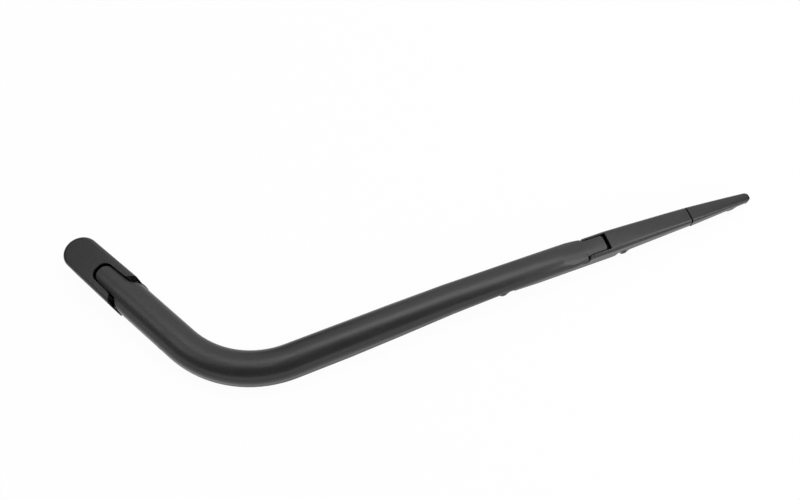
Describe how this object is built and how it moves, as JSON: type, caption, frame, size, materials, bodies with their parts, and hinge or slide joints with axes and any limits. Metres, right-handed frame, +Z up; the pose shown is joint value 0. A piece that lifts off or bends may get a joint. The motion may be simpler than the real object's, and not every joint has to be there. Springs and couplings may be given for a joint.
{
  "type": "wiper arm",
  "caption": "Bent rear window wiper arm: flip-up head cover over a spindle bore, sprung lift hinge and a rocking blade with pivoting claw yokes and a rubber lip.",
  "frame": {"origin": "on the spindle axis, halfway up the straight wall of the spindle bore", "axes": "+X along the blade, away from the head; +Y across the blade, towards the side the head lies on; +Z up, away from the window"},
  "size_m": [0.5525, 0.1691, 0.0282],
  "materials": {
    "grey_plastic": "satin moulded, fine grain",
    "black_plastic": "matt moulded",
    "steel": "drawn wire",
    "spring_steel": "oiled, dark",
    "rubber": "matt, graphite coated"
  },
  "bodies": {
    "head": {"pivot_head": "black_plastic", "hinge_pin": "steel", "spring_anchor": "steel", "tension_spring": "spring_steel"},
    "cover": {"head_cover": "grey_plastic"},
    "swing_arm": {"arm": "grey_plastic", "spring_post": "steel", "pivot_clip": "black_plastic"},
    "blade": {"blade_bridge": "grey_plastic", "blade_pin": "steel", "outer_yoke_pin": "steel", "inner_yoke_pin": "steel", "wiper_rubber": "rubber", "flexor_near": "steel", "flexor_far": "steel"},
    "outer_claws": {"outer_yoke": "grey_plastic"},
    "inner_claws": {"inner_yoke": "grey_plastic"}
  },
  "joints": [
    {"name": "cover_flip", "type": "hinge", "parent": "head", "child": "cover", "pos_m": [0.01908, -0.03344, 0.0101], "axis": [0.8686, 0.4955, 0], "range_deg": [0, 55]},
    {"name": "arm_lift", "type": "hinge", "parent": "head", "child": "swing_arm", "pos_m": [0.01635, -0.02866, 0.0045], "axis": [-0.8686, -0.4955, 0], "range_deg": [0, 40], "stiffness_Nm_per_rad": 1, "springref_deg": -91.67, "deforming": ["tension_spring"]},
    {"name": "blade_rock", "type": "hinge", "parent": "swing_arm", "child": "blade", "pos_m": [0.3628, -0.137, 0.0035], "axis": [0, -1, 0], "range_deg": [-2, 8]},
    {"name": "outer_claws_rock", "type": "hinge", "parent": "blade", "child": "outer_claws", "pos_m": [0.4683, -0.137, 0.0027], "axis": [0, -1, 0], "range_deg": [-2.5, 2.5], "deforming": ["wiper_rubber", "flexor_near", "flexor_far"]},
    {"name": "inner_claws_rock", "type": "hinge", "parent": "blade", "child": "inner_claws", "pos_m": [0.2573, -0.137, 0.0027], "axis": [0, -1, 0], "range_deg": [-2.5, 2.5], "deforming": ["wiper_rubber", "flexor_near", "flexor_far"]}
  ]
}
